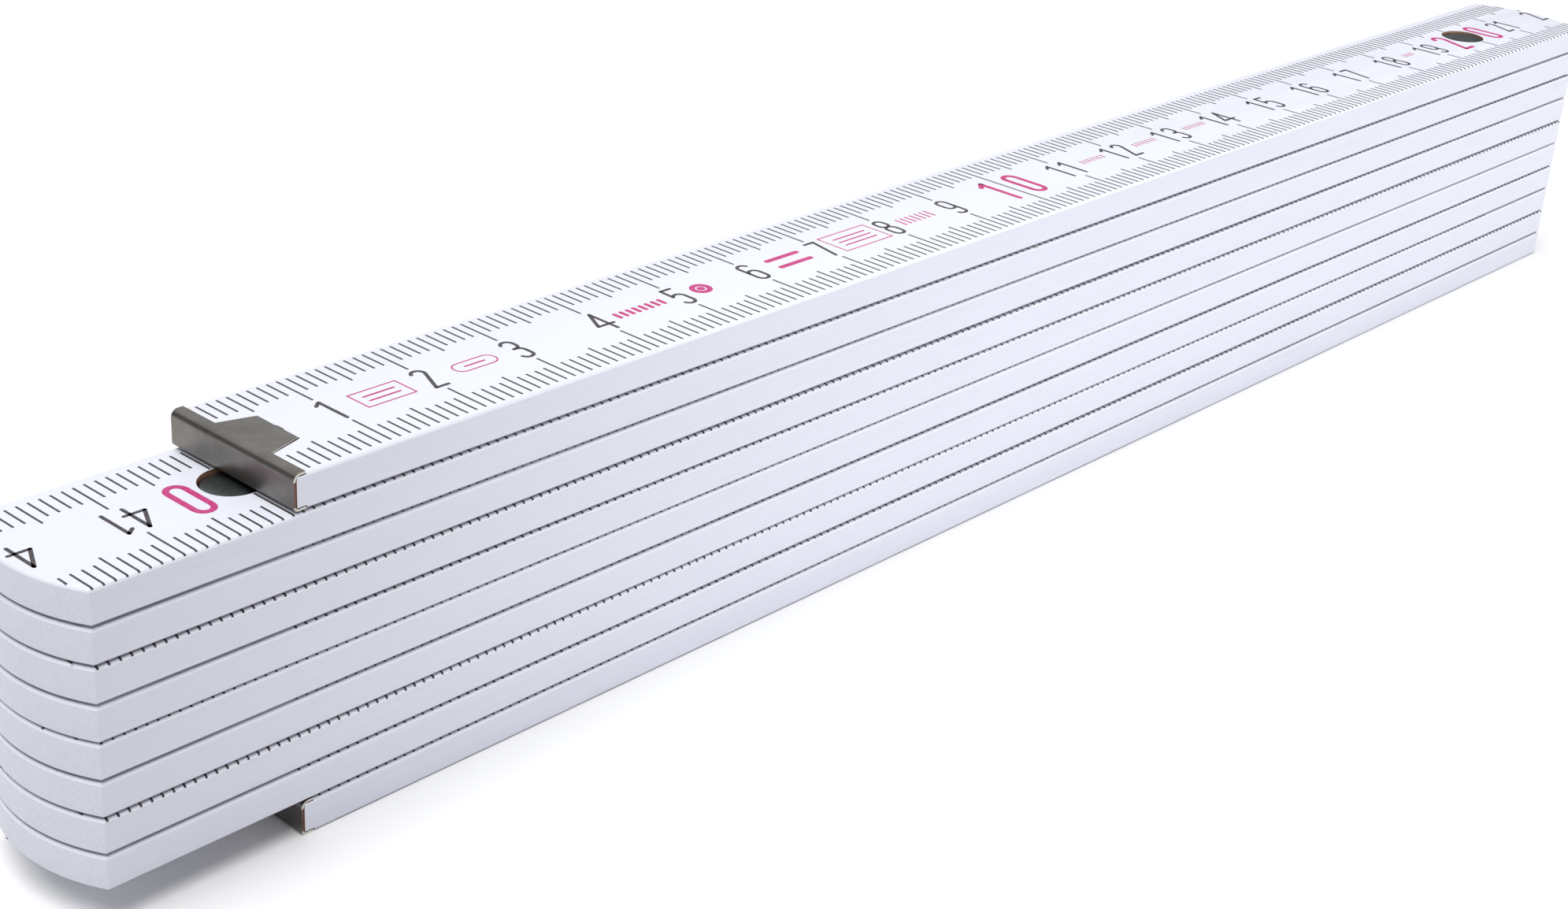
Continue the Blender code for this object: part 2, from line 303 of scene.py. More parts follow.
def bent(mesh, number):
    """Bends a leaf, or what is printed on it, between its joints, and raises its upper face."""
    middle = leaf_middle(number)
    for vertex in mesh.vertices:
        along = min(1, abs(vertex.co.x) / PIVOT_X)
        above = max(0, vertex.co.z - middle) / (THICKNESS / 2)
        vertex.co.z += BOW * bow_of(number) * (1 - along**2) ** 2 + RAISED.get(number, 0) * above
    return mesh


# ---------------------------------------------------------------- leaves


def leaf_outline(left_is_square, inset):
    """A leaf's outline, drawn in by the inset except at a square end."""
    half_width, radius = HALF_WIDTH - inset, END_RADIUS - inset
    spread = math.asin(half_width / radius)
    right = arc(APEX_X - END_RADIUS, radius, -spread, spread, END_STEPS)
    if left_is_square:
        end = ZERO_END_X
        return right + [(end, half_width), (end, -half_width)]
    return right + [(-x, -y) for x, y in right]


def edge_turns():
    """The angles at which a rounded edge has points."""
    return [math.pi / 2 * step / EDGE_STEPS for step in range(EDGE_STEPS + 1)]


def leaf_blank(left_is_square):
    """A leaf with rounded edges and no holes, stacked up from its outline at several heights."""
    half = THICKNESS / 2
    # The first ring bounds the band under the leaf that gets painted shade
    rings = [(GAP_SHADE_BAND, -half)]
    for a in edge_turns():
        rings.append((LOWER_EDGE * (1 - math.sin(a)), LOWER_EDGE * (1 - math.cos(a)) - half))
    for a in edge_turns():
        rings.append((UPPER_EDGE * (1 - math.cos(a)), half - UPPER_EDGE * (1 - math.sin(a))))
    bm = bmesh.new()
    loops = []
    for inset, height in rings:
        loops.append([bm.verts.new((x, y, height)) for x, y in leaf_outline(left_is_square, inset)])
    bm.faces.new(loops[0])
    bm.faces.new(loops[-1])
    for lower, upper in zip(loops, loops[1:]):
        for step in range(len(lower)):
            before = step - 1
            bm.faces.new((lower[before], lower[step], upper[step], upper[before]))
    return bmesh_to_mesh(bm, "leaf")


def seat_outline():
    """The recess for a joint's plate: round about the pivot, straight towards the leaf's middle."""
    quarter = math.pi / 2
    rounded = arc(0, SEAT_HALF_WIDTH, quarter, 3 * quarter, 24)
    tip = [(SEAT_REACH - SEAT_CORNER, -SEAT_HALF_WIDTH), (SEAT_REACH, SEAT_CORNER - SEAT_HALF_WIDTH)]
    return rounded + tip + [(x, -y) for x, y in reversed(tip)]


def seat_cutter(side, face):
    """What cuts a plate's seat. Side is +1 at the +X end, and face is +1 for a joint below the leaf."""
    depth = SEAT_DEPTH - INK_STANDS
    cutter = prism(seat_outline(), -MM, depth)
    turn = Matrix.Rotation(math.pi if side > 0 else 0, 4, "Z")
    if face < 0:
        turn = turn @ Matrix.Rotation(math.pi, 4, "X")
    cutter.transform(Matrix.Translation((side * PIVOT_X, 0, -face * THICKNESS / 2)) @ turn)
    return cutter


def tongue_outline(spare):
    """The cap's strip and tongue from the zero line on, with room to spare."""
    start, strip, reach = CAP_SHEET, CAP_STRIP, CAP_HIGH.x - CAP_LOW.x + spare
    root, tip = TONGUE_ROOT / 2 + spare, TONGUE_TIP / 2 + spare
    return [(start, -root), (strip, -root), (reach, -tip), (reach, tip), (strip, root), (start, root)]


def cap_cutters():
    """The seats of the cap's flaps and the corner under its upper bend, about a leaf's middle."""
    cap_middle = leaf_middle(1)
    upper = CAP_HIGH.z - cap_middle - CAP_SHEET - CAP_SEAT
    lower = CAP_LOW.z - cap_middle + CAP_SHEET + CAP_SEAT
    cutters = []
    for low, high in ((upper, THICKNESS), (-THICKNESS, lower)):
        cutters += [prism(strip_outline(), low, high), prism(tongue_outline(CAP_SEAT / 2), low, high)]
    cutters.append(corner_cutter(upper))
    for cutter in cutters:
        cutter.transform(Matrix.Translation((-PIVOT_X, 0, 0)))
    return cutters


def strip_outline():
    """The seat of the cap's strip, past the leaf on both sides."""
    start, end, half_width = -MM, CAP_STRIP + CAP_SEAT / 2, 2 * HALF_WIDTH
    return [(start, -half_width), (end, -half_width), (end, half_width), (start, half_width)]


def corner_cutter(height):
    """A square bar along Y, on edge, that takes the corner off the leaf's zero end at a height."""
    half = CAP_CORNER
    reach = HALF_WIDTH + MM
    bar = prism([(-half, -half), (half, -half), (half, half), (-half, half)], -reach, reach)
    turn = Matrix.Rotation(math.pi / 2, 4, "X") @ Matrix.Rotation(math.pi / 4, 4, "Z")
    bar.transform(Matrix.Translation((ZERO_END_X + PIVOT_X, 0, height)) @ turn)
    return bar


def cut_across(mesh, axis, places):
    """Adds edges all round a mesh where planes across an axis meet it. Its shape stays the same."""
    normal = Vector([float(name == axis) for name in "XYZ"])
    bm = bmesh.new()
    bm.from_mesh(mesh)
    for place in places:
        everything = bm.verts[:] + bm.edges[:] + bm.faces[:]
        bmesh.ops.bisect_plane(bm, geom=everything, dist=1e-7, plane_co=normal * place, plane_no=normal)
    return bmesh_to_mesh(bm, mesh.name)


def sliced(mesh):
    """Cuts a leaf across every few millimetres, so that it can bend."""
    return cut_across(mesh, "X", [PIVOT_X * step / BOW_STEPS for step in range(-BOW_STEPS, BOW_STEPS + 1)])


def leaf_mesh(number):
    """A leaf about its own middle, with its holes and seats cut."""
    has_cap = number in (1, LEAF_COUNT)
    blank = leaf_blank(has_cap)
    joints = []
    if number < LEAF_COUNT:
        joints.append((joint_side(number), 1))
    if number > 1:
        joints.append((joint_side(number - 1), -1))
    cutters = cap_cutters() if has_cap else []
    for side, face in joints:
        hole = cylinder(HOLE_RADIUS, -THICKNESS, THICKNESS)
        hole.transform(Matrix.Translation((side * PIVOT_X, 0, 0)))
        cutters += [hole, seat_cutter(side, face)]
    return sliced(combined(blank, cutters, "DIFFERENCE"))


def is_bare_wood(face, has_cap):
    """True for what was cut after lacquering: hole walls, joint seats, and the wood under a cap."""
    x, y, z = face.center
    sliver, slack = 0.02 * MM, 0.05 * MM
    past_pivot = abs(x) - PIVOT_X
    is_inside = abs(z) < THICKNESS / 2 - sliver
    is_at_seat = abs(y) < SEAT_HALF_WIDTH + slack and -SEAT_REACH - slack < past_pivot
    is_at_seat = is_at_seat and past_pivot < SEAT_HALF_WIDTH + slack
    is_under_cap = has_cap and x < CAP_HIGH.x and abs(y) < HALF_WIDTH - UPPER_EDGE - sliver
    is_zero_end = has_cap and x < ZERO_END_X + 3 * slack
    return is_zero_end or is_inside and (is_at_seat or is_under_cap)


def edge_kind(face):
    """1 for the faces that round the upper edges, which are chipped and get a painted highlight, -1 for
    the lower edges, which get painted shade, 0 for the rest.
    """
    if 0.1 < face.normal.z < 0.95:
        return 1.0
    is_rounded = -0.95 < face.normal.z < -0.1
    low = face.center.z < LOWER_EDGE - THICKNESS / 2
    return -1.0 if is_rounded or low and is_in_rubbed_band(face.center) else 0.0


def is_in_rubbed_band(point):
    """True near a leaf's long sides and round ends, in the band that gets painted shade."""
    past_end = math.hypot(abs(point.x) - APEX_X + END_RADIUS, point.y) > END_RADIUS - GAP_SHADE_BAND
    is_round_end = abs(point.x) > APEX_X - END_RADIUS / 4
    return abs(point.y) > HALF_WIDTH - GAP_SHADE_BAND or past_end and is_round_end


def make_leaf(number, lacquer, wood):
    mesh = leaf_mesh(number)
    has_cap = number in (1, LEAF_COUNT)
    mesh.materials.clear()
    mesh.materials.append(lacquer)
    mesh.materials.append(wood)
    for face in mesh.polygons:
        face.material_index = int(is_bare_wood(face, has_cap))
    edges = mesh.attributes.new("edge_kind", "FLOAT", "FACE")
    edges.data.foreach_set("value", [edge_kind(face) for face in mesh.polygons])
    mesh.transform(Matrix.Translation((0, 0, leaf_middle(number))))
    leaf = mesh_object(f"lacquered_leaf_{number}", smooth(bent(mesh, number), 25))
    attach(leaf, f"section_{number}")
    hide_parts(f"leaf_{number}")
    return leaf


# ---------------------------------------------------------------- printing


class Slabs:
    """Gathers thin closed slabs of ink in a strip's own frame and makes one mesh of them.

    In that frame the scale runs along +X from the strip's first centimetre line at x = 0, +Y is
    the top of the figures, and z = 0 is the lacquer's surface.
    """

    def __init__(self):
        self.verts = []
        self.faces = []

    def band(self, left, right, is_closed):
        """A slab between two rows of points, each an (x, y, z) with its outward (nx, ny, nz)."""
        start = len(self.verts)
        count = len(left)
        for (low, normal), (high, _) in zip(left, right):
            for point in (low, high):
                self.verts.append(Vector(point) + Vector(normal) * INK_STANDS)
                self.verts.append(Vector(point) - Vector(normal) * INK_STANDS)
        for step in range(count if is_closed else count - 1):
            a = start + 4 * step
            b = start + 4 * ((step + 1) % count)
            self.faces += [(a, b, b + 2, a + 2), (a + 1, a + 3, b + 3, b + 1)]
            self.faces += [(a, a + 1, b + 1, b), (a + 2, b + 2, b + 3, a + 3)]
        if not is_closed:
            end = start + 4 * (count - 1)
            self.faces += [(start, start + 2, start + 3, start + 1), (end, end + 1, end + 3, end + 2)]

    def stroke(self, points, width, is_closed=False):
        """A flat stroke of one width along smooth points, with round ends unless it is closed."""
        spots = [(Vector(point), width / 2) for point in points]
        if not is_closed:
            spots = with_round_ends(points, width)
        left, right = [], []
        for index, (point, half) in enumerate(spots):
            along = direction_at(spots, index, is_closed)
            across = Vector((-along.y, along.x)) * half
            left.append(((point.x + across.x, point.y + across.y, 0), (0, 0, 1)))
            right.append(((point.x - across.x, point.y - across.y, 0), (0, 0, 1)))
        self.band(left, right, is_closed)

    def line(self, x, width, path):
        """A scale line across the leaf, along a path of (y, z, ny, nz) points."""
        left = [((x - width / 2, y, z), (0, ny, nz)) for y, z, ny, nz in path]
        right = [((x + width / 2, y, z), (0, ny, nz)) for y, z, ny, nz in path]
        self.band(left, right, False)

    def mesh(self, name):
        mesh = bpy.data.meshes.new(name)
        mesh.from_pydata(self.verts, [], self.faces)
        bm = bmesh.new()
        bm.from_mesh(mesh)
        return bmesh_to_mesh(bm, name)


def direction_at(spots, index, is_closed):
    """Which way a stroke runs at one of its spots, from its neighbours there."""
    last = len(spots) - 1
    before, after = index - 1, index + 1
    if is_closed:
        after = after % len(spots)
    else:
        before, after = max(0, before), min(last, after)
    return (spots[after][0] - spots[before][0]).normalized()


def with_round_ends(points, width):
    """(point, half width) pairs along a stroke, drawn in at both ends to round them."""
    first, second = Vector(points[0]), Vector(points[1])
    last, previous = Vector(points[-1]), Vector(points[-2])
    half = width / 2
    turns = [math.radians(degrees) for degrees in (80, 55, 28)]
    start_way = (first - second).normalized()
    end_way = (last - previous).normalized()
    head = [(first + start_way * half * math.sin(a), half * math.cos(a)) for a in turns]
    tail = [(last + end_way * half * math.sin(a), half * math.cos(a)) for a in reversed(turns)]
    return head + [(Vector(point), half) for point in points] + tail


def curve(centre, radius, start, end, steps=8):
    """Points of a circular arc, in degrees, in a figure's own units."""
    angles = [math.radians(start + (end - start) * step / steps) for step in range(steps + 1)]
    return [(centre[0] + radius * math.cos(a), centre[1] + radius * math.sin(a)) for a in angles]


def loop(low, high, radius=1.0):
    """A figure's upright closed loop of straight sides and round ends, between two heights."""
    return curve((1, high - radius), radius, 0, 180) + curve((1, low + radius), radius, 180, 360)


SIX = [(loop(0, 3.6), True), ([(0, 2.6)] + curve((1, 5), 1, 180, 20, 10), False)]

# Each figure is a list of (points, is_closed) strokes. It is 2 wide and 6 high.
FIGURES = {
    "0": [(loop(0, 6), True)],
    "1": [([(0, 5.1), (1.05, 6)], False), ([(1.05, 6), (1.05, 0)], False)],
    "2": [(curve((1, 5), 1, 165, -24, 12) + [(0, 0)], False), ([(0, 0), (2.1, 0)], False)],
    "3": [
        (curve((1, 5), 1, 165, 0) + curve((1, 4.3), 1, 0, -90) + [(0.75, 3.3)], False),
        ([(0.75, 3.3)] + curve((1, 2.3), 1, 90, 0) + curve((1, 1), 1, 0, -165), False),
    ],
    "4": [
        ([(1.6, 6), (-0.5, 1.8)], False),
        ([(-0.5, 1.8), (2.5, 1.8)], False),
        ([(1.6, 6), (1.6, 0)], False),
    ],
    "5": [
        ([(2, 6), (0.1, 6)], False),
        ([(0.1, 6), (0, 3.2)], False),
        ([(0, 3.2)] + curve((1, 2.8), 1, 145, 0) + curve((1, 1), 1, 0, -165), False),
    ],
    "6": SIX,
    "7": [([(0, 6), (2, 6)], False), ([(2, 6), (0.75, 0)], False)],
    "8": [(loop(3.3, 6, 0.95), True), (loop(0, 3.3), True)],
    "9": [([(2 - x, FIGURE_HEIGHT - y) for x, y in points], is_closed) for points, is_closed in SIX],
}


def figure(slabs, digit, x, y, unit, stroke):
    """Draws one figure with its middle at (x, y)."""
    wide, high = unit
    for points, is_closed in FIGURES[digit]:
        placed = [(x + (px - 1) * wide, y + (py - FIGURE_HEIGHT / 2) * high) for px, py in points]
        slabs.stroke(placed, stroke, is_closed)


def small_number(slabs, text, x, y):
    """A small black number across its centimetre line."""
    first = x - SMALL_PITCH * (len(text) - 1) / 2
    for place, digit in enumerate(text):
        figure(slabs, digit, first + SMALL_PITCH * place, y, SMALL_FIGURE, SMALL_STROKE)


def large_number(slabs, text, x, y, is_on_hole):
    """A large number, its last figure to the right of the line or hole and the rest to the left."""
    right_gap = HOLE_GAP if is_on_hole else RIGHT_GAP
    left_gap = HOLE_GAP if is_on_hole else LEFT_GAP
    figure(slabs, text[-1], x + right_gap, y, LARGE_FIGURE, LARGE_STROKE)
    for place, digit in enumerate(reversed(text[:-1])):
        figure(slabs, digit, x - left_gap - LARGE_PITCH * place, y, LARGE_FIGURE, LARGE_STROKE)


def half_width_at(x):
    """Half the leaf's width at a place along its strip, less at the round end."""
    to_apex = PIVOT_X + APEX_X - x
    if to_apex >= END_RADIUS - math.sqrt(END_RADIUS**2 - HALF_WIDTH**2):
        return HALF_WIDTH
    return math.sqrt(max(0, END_RADIUS**2 - (END_RADIUS - to_apex) ** 2))


def line_path(inner, margin, side, x, edge):
    """A line's path from its inner end out to its margin from the side. None if there is no room.

    Where the margin is less than the edge's radius, the line runs over the rounded edge.
    """
    half = half_width_at(x)
    is_round_end = half < HALF_WIDTH
    margin = max(margin, edge + ROUND_END_MARGIN) if is_round_end else margin
    outer = half - max(margin, edge)
    if outer - inner < SHORTEST_LINE:
        return None
    path = [(side * inner, 0, 0, 1), (side * outer, 0, 0, 1)]
    if margin >= edge:
        return path
    turn = min(FULL_TURN_OVER, (edge - margin) / edge)
    for step in range(1, EDGE_STEPS + 1):
        a = turn * step / EDGE_STEPS
        y = HALF_WIDTH - edge + edge * math.sin(a)
        z = edge * (math.cos(a) - 1)
        path.append((side * y, z, side * math.sin(a), math.cos(a)))
    return path


def skew(strip, x):
    """How far the printing lies off the middle, towards the strip's own -Y.

    On the tops of the leaves it is always off towards the front edge, by more or less.
    """
    share = x / (2 * PIVOT_X)
    forward = 0.5 + 0.12 * math.sin(1.7 * strip) + 0.15 * (share - 0.5)
    if strip == 1:
        forward = 0.02 + 0.68 * share
    return forward * MM * (1 if strip % 2 else -1)


def strip_steps(strip):
    """The strip's millimetres. The first and last strips stop short of the caps at the rule's ends."""
    first = 2 if strip == 1 else 0
    last = 198 if strip == LEAF_COUNT else 220
    return range(first, last + 1)


def inner_end(step):
    """Where a millimetre's lines begin, from the leaf's middle line."""
    if step in (0, 200):
        return HOLE_RADIUS + HOLE_MARGIN
    if step % 100 == 0:
        return 0
    length = CM_LINE if step % 10 == 0 else HALF_CM_LINE if step % 5 == 0 else MM_LINE
    return HALF_WIDTH - LINE_MARGIN - length


def scale_lines(slabs, strip, edge):
    """The lines of one strip along both edges, and the tens' lines right across."""
    for step in strip_steps(strip):
        x = step * MM
        is_ten = step % 100 == 0
        for side in (-1, 1):
            shift = side * skew(strip, x)
            start = inner_end(step) if is_ten else inner_end(step) - shift
            path = line_path(start, LINE_MARGIN + shift, side, x, edge)
            if path:
                slabs.line(x, LINE_WIDTH, path)


def scale_numbers(black, red, strip):
    """The figures of one strip. The last number is cut off by the leaf's round end."""
    for centimetre in range(1, strip_steps(strip)[-1] // 10 + 1):
        value = STRIP_CM * (strip - 1) + centimetre
        x = centimetre * 10 * MM
        y = -skew(strip, x)
        if value % 10 == 0:
            large_number(red, str(value), x, y, centimetre == STRIP_CM)
        elif centimetre == STRIP_CM + 2:
            figure(black, str(value)[0], x - SMALL_PITCH / 2, y, SMALL_FIGURE, SMALL_STROKE)
        else:
            small_number(black, str(value), x, y)


def frame_mark(slabs, x, y, width, height):
    """A thin rectangular outline."""
    w, h = width / 2, height / 2
    corners = [(x - w, y - h), (x + w, y - h), (x + w, y + h), (x - w, y + h)]
    for start, end in zip(corners, corners[1:] + corners[:1]):
        slabs.stroke([start, end], THIN_STROKE)


def dashes(slabs, x, y, count, pitch, height, stroke):
    """A row of short upright dashes, standing where small print would be."""
    for step in range(count):
        at = x + pitch * (step - (count - 1) / 2)
        slabs.stroke([(at, y - height / 2), (at, y + height / 2)], stroke)


def bars(slabs, x, y, length, count, pitch, stroke):
    """Short level bars above each other."""
    for step in range(count):
        at = y + pitch * (step - (count - 1) / 2)
        slabs.stroke([(x - length / 2, at), (x + length / 2, at)], stroke)


def oval_mark(slabs, x, y, width, height):
    """A thin outline with straight long sides and round ends."""
    radius = height / 2
    straight = width / 2 - radius
    right = [(x + straight + px * radius, y + py * radius) for px, py in curve((0, 0), 1, -90, 90, 10)]
    left = [(x - straight + px * radius, y + py * radius) for px, py in curve((0, 0), 1, 90, 270, 10)]
    slabs.stroke(right + left, THIN_STROKE, True)


def ring_mark(slabs, x, y, radius, stroke):
    points = [(x + px * radius, y + py * radius) for px, py in curve((0, 0), 1, 0, 345, 23)]
    slabs.stroke(points, stroke, True)


def plain_marks(slabs):
    """Plain shapes between the first strip's figures, placed along its scale. They say nothing."""
    y = -0.1 * MM
    frame_mark(slabs, 15.1 * MM, y, 5.0 * MM, 2.9 * MM)
    bars(slabs, 15.1 * MM, y, 3.2 * MM, 2, 0.9 * MM, 0.22 * MM)
    oval_mark(slabs, 25.2 * MM, y, 4.6 * MM, 1.75 * MM)
    bars(slabs, 25.2 * MM, y, 2.2 * MM, 1, 0, 0.2 * MM)
    dashes(slabs, 45.0 * MM, y, 8, 0.8 * MM, 0.9 * MM, 0.42 * MM)
    ring_mark(slabs, 53.0 * MM, y, 0.85 * MM, 0.55 * MM)
    ring_mark(slabs, 53.0 * MM, y, 0.2 * MM, 0.42 * MM)
    bars(slabs, 65.2 * MM, y, 4.2 * MM, 2, 1.9 * MM, 0.6 * MM)
    frame_mark(slabs, 75.0 * MM, y, 6.8 * MM, 4.0 * MM)
    bars(slabs, 75.0 * MM, y, 4.6 * MM, 3, 0.85 * MM, 0.2 * MM)
    dashes(slabs, 84.4 * MM, y, 7, 0.75 * MM, 1.5 * MM, 0.2 * MM)
    for x in (115.2, 125.2, 135.2):
        dashes(slabs, x * MM, y, 7, 0.62 * MM, 0.8 * MM, 0.16 * MM)
    dashes(slabs, 185.2 * MM, y, 4, 0.62 * MM, 0.8 * MM, 0.16 * MM)


def strip_place(strip, leaf, is_top):
    """Places a strip's frame on its leaf in the folded rule."""
    turn = Matrix.Identity(4) if strip % 2 else Matrix.Rotation(math.pi, 4, "Z")
    start = -PIVOT_X if strip % 2 else PIVOT_X
    on_face = Matrix.Translation((start, 0, THICKNESS / 2)) @ turn
    flip = Matrix.Identity(4) if is_top else Matrix.Rotation(math.pi, 4, "X")
    return Matrix.Translation((0, 0, leaf_middle(leaf))) @ flip @ on_face


def print_strip(strip, leaf, is_top, inks):
    """Prints a strip on one face of a leaf, as a black piece and a magenta piece."""
    black, red = Slabs(), Slabs()
    scale_lines(black, strip, UPPER_EDGE if is_top else LOWER_EDGE)
    scale_numbers(black, red, strip)
    if strip == 1:
        plain_marks(red)
    face = "top" if is_top else "back"
    for slabs, colour in ((black, "black"), (red, "magenta")):
        mesh = slabs.mesh(f"{colour}_{face}_{leaf}")
        mesh.transform(strip_place(strip, leaf, is_top))
        mesh.materials.append(inks[f"{colour}_ink"])
        piece = mesh_object(f"{colour}_scale_{face}_{leaf}", bent(mesh, leaf))
        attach(piece, f"section_{leaf}")


# ---------------------------------------------------------------- caps and rivets


def cap_mesh():
    """The folded cap about its own zero line and its leaf's middle."""
    middle = leaf_middle(1)
    low, high = CAP_LOW.z - middle, CAP_HIGH.z - middle
    half_width = CAP_HIGH.y
    outer = [(CAP_STRIP, low)] + fold(LOWER_BEND, LOWER_BEND, low, 1)
    outer += list(reversed(fold(UPPER_BEND, UPPER_BEND, high, -1))) + [(CAP_STRIP, high)]
    inner = [(CAP_STRIP, high - CAP_SHEET)] + fold(UPPER_BEND, UPPER_BEND - CAP_SHEET, high, -1)
    inner += list(reversed(fold(LOWER_BEND, LOWER_BEND - CAP_SHEET, low, 1)))
    inner.append((CAP_STRIP, low + CAP_SHEET))
    folded = prism(outer + inner, -half_width, half_width, "cap")
    folded.transform(Matrix.Rotation(math.pi / 2, 4, "X"))
    tongues = [
        prism(jagged_tongue(1), high - CAP_SHEET, high),
        prism(jagged_tongue(-1), low, low + CAP_SHEET),
    ]
    whole = combined(folded, tongues, "UNION")
    rounded = modified(
        whole, "BEVEL", width=CAP_BEVEL, segments=2, limit_method="ANGLE", angle_limit=BEVEL_ANGLE
    )
    return cut_across(rounded, "Z", end_face_heights())


def fold(centre, radius, face, way):
    """Points round one of the cap's bends, from a face of the leaf to the end face.

    The bend is rolled about a centre that lies inwards from both faces, and way is +1 for the
    bend at the lower face.
    """
    turns = [math.radians(90) * step / CAP_STEPS for step in range(CAP_STEPS + 1)]
    return [(centre - radius * math.sin(a), face + way * (centre - radius * math.cos(a))) for a in turns]


def end_face_heights():
    """Where the flat end face begins and ends, about the leaf's middle."""
    middle = leaf_middle(1)
    return CAP_LOW.z - middle + LOWER_BEND, CAP_HIGH.z - middle - UPPER_BEND


def jagged_tongue(face):
    """The tongue's outline, from the flat just past the bend to an end that was broken off."""
    start, strip, reach = UPPER_BEND + 0.05 * MM, CAP_STRIP, CAP_HIGH.x - CAP_LOW.x
    root, tip = TONGUE_ROOT / 2, TONGUE_TIP / 2
    break_line = [(-0.85, -0.1), (-0.7, 0), (0.1, 0), (0.35, -0.13)]
    end = [(reach - 0.12 * MM, -tip * face)]
    end += [(reach + along * MM, across * MM * face) for across, along in break_line]
    end.append((reach - 0.08 * MM, tip * face))
    outline = [(start, -root * face), (strip, -root * face)] + end
    outline += [(strip, root * face), (start, root * face)]
    return outline if face > 0 else list(reversed(outline))


def cap_finish(face):
    """0 for the sheet's faces, 1 for its bright cut edge, 2 for its dark brown cut edge beside the end
    face.
    """
    steep = 0.55
    faces_sideways = abs(face.normal.y) > steep
    if not faces_sideways and face.normal.x < steep:
        return 0
    start, end = end_face_heights()
    return 2 if faces_sideways and start < face.center.z < end else 1


def make_cap(leaf, steels):
    mesh = cap_mesh()
    mesh.materials.clear()
    for name in ("cap_steel", "cut_edge_steel", "dark_cut_edge"):
        mesh.materials.append(steels[name])
    for face in mesh.polygons:
        face.material_index = cap_finish(face)
    mesh.transform(Matrix.Translation((-PIVOT_X, 0, leaf_middle(leaf))))
    cap = mesh_object(f"folded_cap_{leaf}", smooth(mesh, 30))
    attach(cap, f"section_{leaf}")
    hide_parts(f"end_cap_{leaf}")


def rivet_mesh(low, high, rise):
    """The rivet about its axis: shank, two flat-rimmed domed heads and a shallow dimple in each."""
    radius = (high.x - low.x) / 2
    height = (high.z - low.z) / 2

    def head(start):
        crown = []
        for step in range(HEAD_STEPS + 1):
            share = 1 - step / HEAD_STEPS
            dimple = DIMPLE_DEPTH * math.exp(-((share * radius / DIMPLE_RADIUS) ** 2))
            crown.append((share * (radius - HEAD_RIM), height - rise * share**2 - dimple))
        return [(SHANK_RADIUS, start), (radius, start), (radius, height - rise - HEAD_RIM)] + crown

    lower = [(r, -h) for r, h in reversed(head(LOWER_HEAD_START))]
    return turned(lower + head(UPPER_HEAD_START), HOLE_STEPS, "rivet")


def make_rivet(mark, steel):
    node = f"rivet_{mark}"
    low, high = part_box(node)
    mesh = rivet_mesh(low, high, FLAT_HEAD_RISE if mark == STRIP_CM else HEAD_RISE)
    mesh.transform(Matrix.Translation((low + high) / 2))
    mesh.materials.append(steel)
    rivet = mesh_object(f"domed_rivet_{mark}", smooth(mesh, 40))
    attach(rivet, frame["nodes"][node]["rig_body"])
    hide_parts(node)


def finish_plates(steel):
    """The joints' plates and washers keep their CAD shape, with soft edges and real steel."""
    for name, node in frame["nodes"].items():
        if name.startswith(("upper_plate", "lower_plate", "spring_washer")):
            node.data.materials.clear()
            node.data.materials.append(steel)
            bevel = node.modifiers.new("Soft edges", "BEVEL")
            bevel.width = PLATE_BEVEL
            bevel.segments = 2
            bevel.limit_method = "ANGLE"
            bevel.angle_limit = BEVEL_ANGLE


# ---------------------------------------------------------------- materials


def add_node(tree, kind, settings=None, inputs=None):
    """A node with its settings, and its inputs set to values or linked to sockets."""
    made = tree.nodes.new(kind)
    for name, value in (settings or {}).items():
        setattr(made, name, value)
    for name, value in (inputs or {}).items():
        if isinstance(value, bpy.types.NodeSocket):
            tree.links.new(value, made.inputs[name])
        else:
            made.inputs[name].default_value = value
    return made


def new_material(name):
    material = bpy.data.materials.new(name)
    material.use_nodes = True
    tree = material.node_tree
    return material, tree, tree.nodes["Principled BSDF"]


def stretched_noise(tree, scale, detail=3.0, roughness=0.55):
    """Noise over the object's own metres, with a scale for each axis."""
    coords = add_node(tree, "ShaderNodeTexCoord").outputs["Object"]
    place = add_node(tree, "ShaderNodeMapping", inputs={"Vector": coords, "Scale": scale})
    inputs = {"Vector": place.outputs["Vector"], "Scale": 1.0, "Detail": detail, "Roughness": roughness}
    return add_node(tree, "ShaderNodeTexNoise", inputs=inputs).outputs["Fac"]


def ranged(tree, value, low, high, out_low=0.0, out_high=1.0):
    """A value mapped from one range to another, and held within it."""
    inputs = {"Value": value, "From Min": low, "From Max": high, "To Min": out_low, "To Max": out_high}
    return add_node(tree, "ShaderNodeMapRange", inputs=inputs).outputs["Result"]


def maths(tree, operation, first, second):
    """One step of arithmetic on two values or sockets."""
    made = add_node(tree, "ShaderNodeMath", {"operation": operation})
    for index, value in enumerate((first, second)):
        if isinstance(value, bpy.types.NodeSocket):
            tree.links.new(value, made.inputs[index])
        else:
            made.inputs[index].default_value = value
    return made.outputs[0]


def mixed(tree, factor, first, second):
    """Two colours mixed by a factor. Each is a colour or a socket."""
    made = add_node(tree, "ShaderNodeMix", {"data_type": "RGBA"})
    for index, value in ((0, factor), (6, first), (7, second)):
        if isinstance(value, bpy.types.NodeSocket):
            tree.links.new(value, made.inputs[index])
        else:
            made.inputs[index].default_value = value if index == 0 else (*value, 1)
    return made.outputs[2]


def bumped(tree, shader, height, distance, strength):
    """Gives the shader a relief, whose distance is in metres."""
    inputs = {"Height": height, "Distance": distance, "Strength": strength}
    bump = add_node(tree, "ShaderNodeBump", inputs=inputs)
    tree.links.new(bump.outputs["Normal"], shader.inputs["Normal"])


